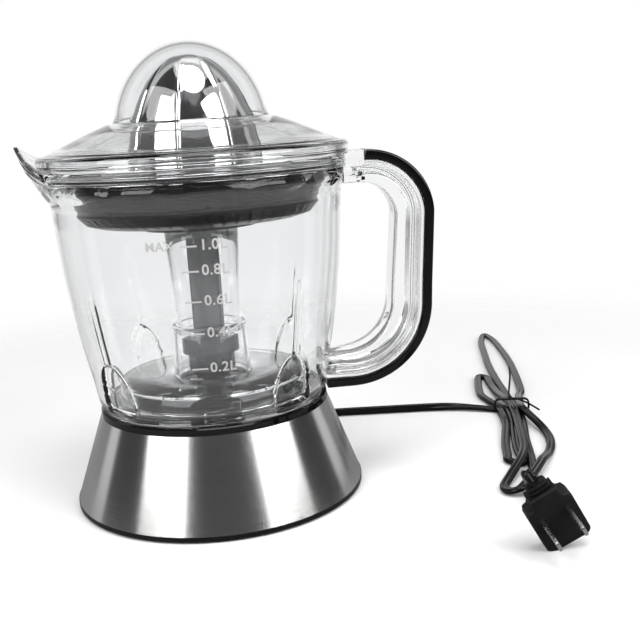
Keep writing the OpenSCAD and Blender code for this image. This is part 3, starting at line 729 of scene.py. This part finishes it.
def jug_profile():
    """The jug's closed profile and, for each point, which surface it is on."""
    outer = [(58.2, 51.5), (58.9, 51.7), (59.7, 53.2), (60.4, 54.9)]
    outer += [(jug_radius(z), z) for z in heights(55.2, 84, 1.2)]
    outer += [(jug_radius(z), z) for z in heights(86, 122, 2)]
    outer += [(jug_radius(z), z) for z in heights(126, 154, 4)]
    outer += [(jug_radius(z), z) for z in heights(156.5, 163.2, 0.48)]
    outer += [(jug_radius(z), z) for z in heights(163.6, 169.6, 0.5)]
    outer += bead(77.2, 170.6, 0.6, 0.5)
    outer += bead(77.2, 172.8, 0.6, 0.5)
    outer += [(RIM_R, 174), (RIM_R, 175.5), (RIM_R - 0.4, RIM_Z)]
    inner = [(75.2, RIM_Z), (74.8, 175.6), (74.8, 170.2), (74.5, 170), (72.4, 170), (72, 169.6)]
    inner += [(jug_radius(z) - WALL - 0.6 * ease((z - 145) / 12), z)
              for z in reversed(heights(156, 166, 2))]
    inner += [(jug_radius(z) - WALL, z) for z in reversed(heights(126, 152, 4))]
    inner += [(jug_radius(z) - WALL, z) for z in reversed(heights(86, 122, 2))]
    inner += [(jug_radius(z) - WALL, z) for z in reversed(heights(57.2, 84, 1.2))]
    inner += [(57.9, 56.2), (57, 55.4)]
    floor = [(50.6, 55.4), (49.8, 55.8), (49.4, 56.6), (49.4, 64.1), (49.1, 64.7), (48.5, 65)]
    floor += [(22.4, 65), (21.2, 65.4), (20.7, 66.6), (19.4, 88.6)]
    floor += arc(18.3, 90.5, 1.6, -35, 200, 12)
    floor += [(17.2, 88), (18.5, 64), (18.9, 62.9), (19.6, 62.6), (46.4, 62.6), (47, 62), (47, 53)]
    floor += [(55.6, 53), (56, 52.6), (56, 51.5)]
    tags = ["outer"] * len(outer) + ["inner"] * len(inner) + ["floor"] * len(floor)
    return outer + inner + floor, tags


def make_jug():
    """The jug, with flats under its rim, a pouring lip and pockets low in its wall."""
    profile, tags = jug_profile()

    def shape(r, z, a, k):
        tag = tags[k]
        if tag == "outer" and FACET_Z[0] < z < FACET_Z[1]:
            part = 360 / FACETS
            local = (a - FACET_TURN + part / 2) % part - part / 2
            r = min(r, FACET_FLAT / cosd(local))
        if tag != "floor" and 55.4 < z < 122:
            r -= pocket_depth(r, z, a)
        if tag != "floor" and z > LIP_LOW:
            out, rise = lip_rim(a)
            t = (z - LIP_LOW) / (RIM_Z - LIP_LOW)
            r += out * t
            z += rise * t
        return r, z

    jug = lathe("jug_moulding", profile, FACETS * 24, shape, sharp=45)
    return dress(jug, "jug", "clear_plastic", "jug_body")


def curved_text(body, turn, z, size, name):
    """Printed words on the jug's wall, as thin raised ink, that start at an angle."""
    words = bpy.data.curves.new(name, "FONT")
    words.body = body
    words.size = size * MM
    words.align_x = "LEFT"
    words.align_y = "CENTER"
    words.extrude = 0.00008
    words.offset = 0.00012
    words.space_character = 1.08
    words.resolution_u = 4
    holder = bpy.data.objects.new(name, words)
    bpy.context.scene.collection.objects.link(holder)
    bpy.context.view_layer.update()
    data = bpy.data.meshes.new_from_object(holder.evaluated_get(bpy.context.evaluated_depsgraph_get()))
    bpy.data.objects.remove(holder)
    return wrapped(data, turn, z, name)


def wrapped(data, turn, z, name):
    """Bends a flat mesh, x to the right and y up, round the jug's outer wall."""
    for v in data.vertices:
        height = z + v.co.y / MM
        r = jug_radius(height) + 0.06 + v.co.z / MM
        a = turn + math.degrees(v.co.x / MM / jug_radius(z))
        v.co = Vector((r * cosd(a), r * sind(a), height)) * MM
    obj = bpy.data.objects.new(name, data)
    bpy.context.scene.collection.objects.link(obj)
    return obj


def bar(name, x0, x1, half):
    """A flat printed stroke, finely divided so that it bends."""
    n = 16
    rings = []
    for i in range(n + 1):
        x = x0 + (x1 - x0) * i / n
        rings.append([(x, -half, -0.08), (x, half, -0.08), (x, half, 0.08), (x, -half, 0.08)])
    return skin(name, rings)


MARK_HEIGHTS = (82.6, 100.1, 115.6, 129.9, 141.5)
MARK_WORDS = ("0.2L", "0.4L", "0.6L", "0.8L", "1.0L")
MARK_RISE = 0.3
LABEL_TURN, LABEL_SIZE = -91.0, 6.8
MAX_TURN, MAX_SIZE = -110.6, 5.9
TICK_TURN = -93.6


def make_marks():
    """Volume marks: a tick and a label at each height, and MAX beside the highest."""
    parts = []
    for z, words in zip(MARK_HEIGHTS, MARK_WORDS):
        parts.append(curved_text(words, LABEL_TURN, z + MARK_RISE, LABEL_SIZE, "words_" + words))
        tick = bar("tick", -5.6, 2.0, 0.4)
        data = tick.data
        bpy.data.objects.remove(tick)
        parts.append(wrapped(data, TICK_TURN, z, "tick_" + words))
    parts.append(curved_text("MAX", MAX_TURN, MARK_HEIGHTS[-1] + MARK_RISE, MAX_SIZE, "words_max"))
    marks = join("volume_marks", parts)
    marks.data.materials.clear()
    marks.data.materials.append(WHITE_PRINT)
    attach(marks, "jug")


def make_bayonet_mark():
    """Raised edge round each of the three L-shaped lock slots on the jug's inner skirt."""
    skirt_r = 49.6
    corners = [(-9, 53.9), (-9, 56.7), (4.6, 57.6), (4.6, 60.6), (8.6, 60.6), (8.6, 54.4)]
    outline = rounded(corners, 0.9, 4)
    path = []
    for (x0, z0), (x1, z1) in zip(outline, outline[1:] + outline[:1]):
        steps = max(1, round(abs(x1 - x0) / 2))
        for i in range(steps):
            u = i / steps
            path.append((x0 + (x1 - x0) * u, z0 + (z1 - z0) * u))
    for i in range(3):
        turn = -86 + 120 * i
        around = [(turn + math.degrees(x / skirt_r), z) for x, z in path]
        line = [(skirt_r * cosd(a), skirt_r * sind(a), z) for a, z in around]
        piece = tube(f"lock_slot_edge_{i}", line, 0.42, 8, True)
        dress(piece, "jug", "clear_plastic")


# ---- Handle ----

STRIP_T = 5.8
FLANGE = 2.6
GROOVE = 7.0
HANDLE_W = 22.0
WEB = 5.0


def handle_stations():
    """Pairs of points on the handle's outer and inner edges in X and Z, from top root to bottom root."""
    pairs = [((x, 177.3), (x, 160.5)) for x in (75.4, 78, 80.5, 83, 85, 86.4)]
    pairs += list(zip(arc(88, 142, 35.3, 90, 3, 30), arc(84, 142, 18.5, 90, 2, 30)))
    pairs += [((123.3 - 3 * u, 143.8 - 46 * u), (102.5 - 4 * u, 142 - 43 * u))
              for u in (0.14, 0.28, 0.43, 0.57, 0.72, 0.86)]
    pairs += list(zip(arc(75.5, 96, 44.8, -1, -90, 30), arc(70.5, 98, 28, -1, -90, 30)))
    pairs += [((x, 51.2), (x - 2, 70)) for x in (72, 68, 64, 61)]
    return pairs


def handle_ring(pair, section):
    """A section of (depth from the outer edge, sideways) placed at one pair of points."""
    outer, inner = Vector((pair[0][0], 0, pair[0][1])), Vector((pair[1][0], 0, pair[1][1]))
    inward = (inner - outer).normalized()
    return [outer + inward * d + Vector((0, y, 0)) for d, y in section]


def grooved_section(start, depth, grooved):
    """I-shaped section from start to depth. grooved runs from 0, a plain block, to 1, full grooves."""
    half = HANDLE_W / 2
    g0, g1 = STRIP_T + FLANGE, STRIP_T + GROOVE
    side = half - (half - WEB / 2) * max(grooved, 0.03)
    bend = 0.9 * max(grooved, 0.03)
    one = [(start, -half), (start, half), (g0, half), (g0 + bend, side), (g1 - bend, side), (g1, half),
           (depth, half)]
    other = [(d, -y) for d, y in reversed(one[2:])]
    return rounded(one + other, 1.2, 3, 0)


def make_handle():
    """The clear frame: a plain root on the jug, then a grooved bar inside the black strip."""
    rings = []
    for pair in handle_stations():
        depth = (Vector(pair[0]) - Vector(pair[1])).length
        x, z = pair[0]
        upper = z > 120
        grooved = ease((x - 79) / 5) if upper else ease((x - 62) / 6)
        if upper and x < 86.45:
            rings.append(handle_ring(pair, grooved_section(0.0, depth, grooved)))
            last_root = pair, depth
            continue
        if upper and last_root:
            rings.append(handle_ring(last_root[0], grooved_section(STRIP_T - 0.02, last_root[1], 1.0)))
            last_root = None
        rings.append(handle_ring(pair, grooved_section(STRIP_T - 0.02, depth, grooved)))
    handle = skin("handle_moulding", rings, True, 40)
    return dress(handle, "jug", "clear_plastic", "handle_frame")


def make_strip():
    """The black outer strip, crowned and with rounded edges."""
    half = HANDLE_W / 2
    t = STRIP_T - 0.12
    corners = [(0.3, -half), (0, -half * 0.5), (0, half * 0.5), (0.3, half), (t, half), (t, -half)]
    section = rounded(corners, 1.5, 5)
    stations = [p for p in handle_stations() if p[0][1] < 120 or p[0][0] > 86.45]
    rings = [handle_ring(p, section) for p in stations]
    strip = skin("handle_black_strip", rings, True, 40)
    return dress(strip, "jug", "gloss_black", "handle_strip")


# ---- Dust cover ----

COVER_T = 1.8


def make_cover():
    """The clear cover: a stepped rim, a shallow shoulder and a dome over the reamer."""
    dome_out = arc_ellipse(39.3, 44.6, 192, 8, 90, 36)
    dome_in = arc_ellipse(39.3 - COVER_T, 44.6 - COVER_T, 192, 90, 8, 36)
    outer = [(74.4, 173.6), (74.4, 176), (78.4, 176), (79.1, 176.4), (79.2, 177.6), (78.7, 178),
             (78.7, 178.5), (79.3, 179), (79.3, 181.2), (78.8, 182.4), (77.6, 183.2), (76.4, 183.5),
             (75.6, 183.2), (74.8, 183.5)]
    shoulder = catmull([(74.8, 183.6), (68.6, 186.3), (60, 190.2), (50, 194.4), (42.6, 197.2),
                        (40, 197.6)], 6)
    inside = catmull([(38.2, 195.6), (41, 195.2), (49.4, 192.3), (59.3, 188.3), (68, 184.5),
                      (72, 182.6)], 6)
    profile = outer + [tuple(p) for p in shoulder[1:]] + dome_out[1:] + dome_in[:-1]
    profile += [tuple(p) for p in inside]
    profile += [(72.9, 181.6), (73.2, 180), (73.2, 173.6), (73.6, 173.3), (74, 173.3)]
    cover = lathe("dust_cover_moulding", profile, 240, sharp=40)
    return dress(cover, "cover", "clear_plastic", "dust_cover")


def arc_ellipse(rx, rz, z, a0, a1, n):
    """Points on an upright ellipse about the Z axis, angles in degrees."""
    made = []
    for i in range(n + 1):
        a = a0 + (a1 - a0) * i / n
        made.append((max(0.0, rx * cosd(a)) if abs(a - 90) > 1e-6 else 0.0, z + rz * sind(a)))
    return made


# ---- Reamer ----

RIDGES = 8
RIDGE_H = 0.85
RIDGE_HALF = 1.15
RIDGE_TURN = 32.5


def make_reamer():
    """The polished reamer, a thin pressed dome with fine ridges."""
    low_z, tip, r = 169.8, 229.8, 34.6
    outer = [(35.2, 156.5), (35.1, 157.4), (34.8, 159.5)] + arc_ellipse(r, tip - low_z, low_z, 0, 90, 60)
    inner = arc_ellipse(r - 0.8, tip - low_z - 0.8, low_z, 90, 0, 40) + [(34.0, 159.6), (34.4, 156.5)]
    edge = len(outer)

    def shape(rr, z, a, k):
        if k < edge and 160 < z:
            part = 360 / RIDGES
            local = (a - RIDGE_TURN + part / 2) % part - part / 2
            across = local * math.pi / 180 * rr
            fade = ease((rr - 3) / 8) * ease((z - 160) / 8)
            rr += RIDGE_H * fade * math.exp(-(across / RIDGE_HALF) ** 2)
        return rr, z

    base = [360 * i / 240 for i in range(240)]
    extra = [RIDGE_TURN + 360 / RIDGES * j + s * d for j in range(RIDGES) for s in (-1, 1)
             for d in (0.35, 0.8, 1.15, 1.9, 2.3, 2.65, 3.4)]
    angles = sorted(set(round(a % 360, 4) for a in base + extra))
    reamer = lathe("reamer_cone", outer + inner, angles, shape, sharp=60)
    return dress(reamer, "reamer", "polished_steel", "reamer_shell")


# ---- Base ----

SEAM_TURN = -23.5


def make_steel_shell():
    """The brushed skirt of the base, with its seam and the hole for the cord."""
    t = 0.8
    low = (77.0, 3.2)
    high = (60.8, 47.9)
    rows = 12
    outer = [(low[0] + (high[0] - low[0]) * i / rows, low[1] + (high[1] - low[1]) * i / rows)
             for i in range(rows + 1)]
    profile = outer + [(high[0] - t, high[1]), (low[0] - t, low[1])]

    def shape(r, z, a, k):
        d = abs(angle_from(a, SEAM_TURN))
        if k <= rows and d < 0.3:
            r -= 0.3
        return r, z

    seam_edges = [(SEAM_TURN + s) % 360 for s in (-0.34, -0.26, 0.26, 0.34)]
    angles = sorted([1.25 * i for i in range(288)] + seam_edges)
    shell = lathe("steel_skirt", profile, angles, shape)
    hole = lathe("hole", [(4.2, 60), (4.2, 90), (0, 90), (0, 60)], 40, closed=False)
    hole.data.transform(Matrix.Translation((0, 0, EXIT_Z * MM))
                        @ Matrix.Rotation(math.radians(EXIT_TURN), 4, "Z")
                        @ Matrix.Rotation(math.radians(90), 4, "Y"))
    cut(shell, hole)
    return dress(shell, "base", "brushed_steel", "steel_shell")


def make_stem():
    """The clear tube under the strainer, with a flange at its top."""
    profile = [(15.1, 87.9), (15.6, 87.6), (16.2, 87.9), (17.6, 110), (19.5, 144.4), (20, 145), (24.6, 145),
               (25, 145.4), (25, 146.9), (17.8, 146.9), (17.8, 143.4), (16.4, 112)]
    stem = lathe("stem_moulding", profile, 160, sharp=45)
    return dress(stem, "strainer", "clear_plastic", "stem_tube")


make_jug()
make_marks()
make_bayonet_mark()
make_handle()
make_strip()
make_cover()
make_reamer()
make_steel_shell()
make_stem()

# Every CAD node gets its own slot's material, whether it shows or not
for part in frame["record"]["subparts"]:
    node = frame["nodes"][part["node"]]
    node.data.materials.clear()
    node.data.materials.append(MATERIALS[part["material_slot"]])


# ---- Floor, lights and air ----

def make_floor():
    """A pale floor that fades into the pale surroundings far from the press."""
    rings = [0.0, 0.3, 0.6, 1.0]
    floor = lathe("floor", [(r / MM, 0) for r in rings], 96, closed=False)
    m = Nodes("pale_floor", (0.93, 0.93, 0.93), 0.6)
    m.vary_roughness(m.noise(8, 3), 0.5, 0.7)
    mirrored = m.add("ShaderNodeLightPath").outputs["Is Reflection Ray"]
    # Darker where it is mirrored in the press, as black cards beside it would make it
    tone = m.maths("SUBTRACT", 0.93, m.maths("MULTIPLY", mirrored, 0.66))
    m.link(tone, m.shader.inputs["Base Color"])
    split = m.add("ShaderNodeVectorMath", operation="LENGTH")
    m.link(m.place, split.inputs[0])
    fade = m.add("ShaderNodeMapRange", interpolation_type="SMOOTHSTEP")
    fade.inputs["From Min"].default_value = 0.24
    fade.inputs["From Max"].default_value = 0.62
    m.link(split.outputs["Value"], fade.inputs["Value"])
    clear = m.add("ShaderNodeBsdfTransparent")
    mix = m.add("ShaderNodeMixShader")
    output = next(n for n in m.tree.nodes if n.type == "OUTPUT_MATERIAL")
    m.link(fade.outputs[0], mix.inputs[0])
    m.link(m.shader.outputs[0], mix.inputs[1])
    m.link(clear.outputs[0], mix.inputs[2])
    m.link(mix.outputs[0], output.inputs["Surface"])
    floor.data.materials.append(m.material)
    floor.location.z = -0.0002


def make_light(name, azimuth, elevation, distance, size, power, shape="RECTANGLE"):
    """A softbox aimed at the press. Azimuth 0 is at the camera's side, 90 at the handle's side."""
    data = bpy.data.lights.new(name, "AREA")
    data.shape = shape
    data.size = size[0]
    data.size_y = size[1]
    data.energy = power
    light = bpy.data.objects.new(name, data)
    target = Vector((0, 0, 0.12))
    away = Vector((sind(azimuth) * cosd(elevation), -cosd(azimuth) * cosd(elevation), sind(elevation)))
    light.location = target + away * distance
    light.rotation_mode = "QUATERNION"
    light.rotation_quaternion = away.to_track_quat("Z", "Y")
    bpy.context.scene.collection.objects.link(light)


def make_world():
    """A studio that is pale behind and below, grey behind at the sides and dark at the camera's side."""
    world = bpy.data.worlds.new("studio")
    world.use_nodes = True
    tree = world.node_tree
    link = tree.links.new

    def ramp(source, start, end, low, high):
        node = tree.nodes.new("ShaderNodeMapRange")
        for socket, value in zip(("From Min", "From Max", "To Min", "To Max"), (start, end, low, high)):
            node.inputs[socket].default_value = value
        link(source, node.inputs["Value"])
        return node.outputs[0]

    def most(a, b):
        node = tree.nodes.new("ShaderNodeMath")
        node.operation = "MAXIMUM"
        link(a, node.inputs[0])
        link(b, node.inputs[1])
        return node.outputs[0]

    place = tree.nodes.new("ShaderNodeTexCoord")
    split = tree.nodes.new("ShaderNodeSeparateXYZ")
    path = tree.nodes.new("ShaderNodeLightPath")
    link(place.outputs["Generated"], split.inputs[0])
    behind = tree.nodes.new("ShaderNodeValToRGB")
    tones = ((0.28, 0.045), (0.33, 0.7), (0.5, 0.7), (0.57, 0.26), (0.82, 0.3), (0.93, 0.97))
    while len(behind.color_ramp.elements) < len(tones):
        behind.color_ramp.elements.new(0.5)
    for element, (place_along, tone) in zip(behind.color_ramp.elements, tones):
        element.position = place_along
        element.color = (tone, tone, tone, 1)
    link(split.outputs[1], behind.inputs[0])
    below = ramp(split.outputs[2], 0.0, -0.12, 0.0, 0.8)
    dimmed = tree.nodes.new("ShaderNodeMath")
    dimmed.operation = "MULTIPLY"
    link(below, dimmed.inputs[0])
    link(ramp(path.outputs["Is Reflection Ray"], 0, 1, 1, 0.3), dimmed.inputs[1])
    strength = most(most(behind.outputs[0], dimmed.outputs[0]), path.outputs["Is Camera Ray"])
    back = tree.nodes["Background"]
    link(strength, back.inputs["Strength"])
    back.inputs["Color"].default_value = (1, 1, 1, 1)
    bpy.context.scene.world = world


make_floor()
make_light("softbox_left", -50.5, 30, 1.25, (0.88, 0.9), 12)
make_light("softbox_right", 53, 30, 1.25, (0.9, 0.9), 12)
make_light("softbox_top", 22, 77, 1.3, (0.95, 0.95), 10, "DISK")
make_world()
scene = bpy.context.scene
scene.view_settings.view_transform = "Standard"
scene.cycles.max_bounces = 24
scene.cycles.transmission_bounces = 24
scene.cycles.transparent_max_bounces = 24
scene.cycles.glossy_bounces = 8
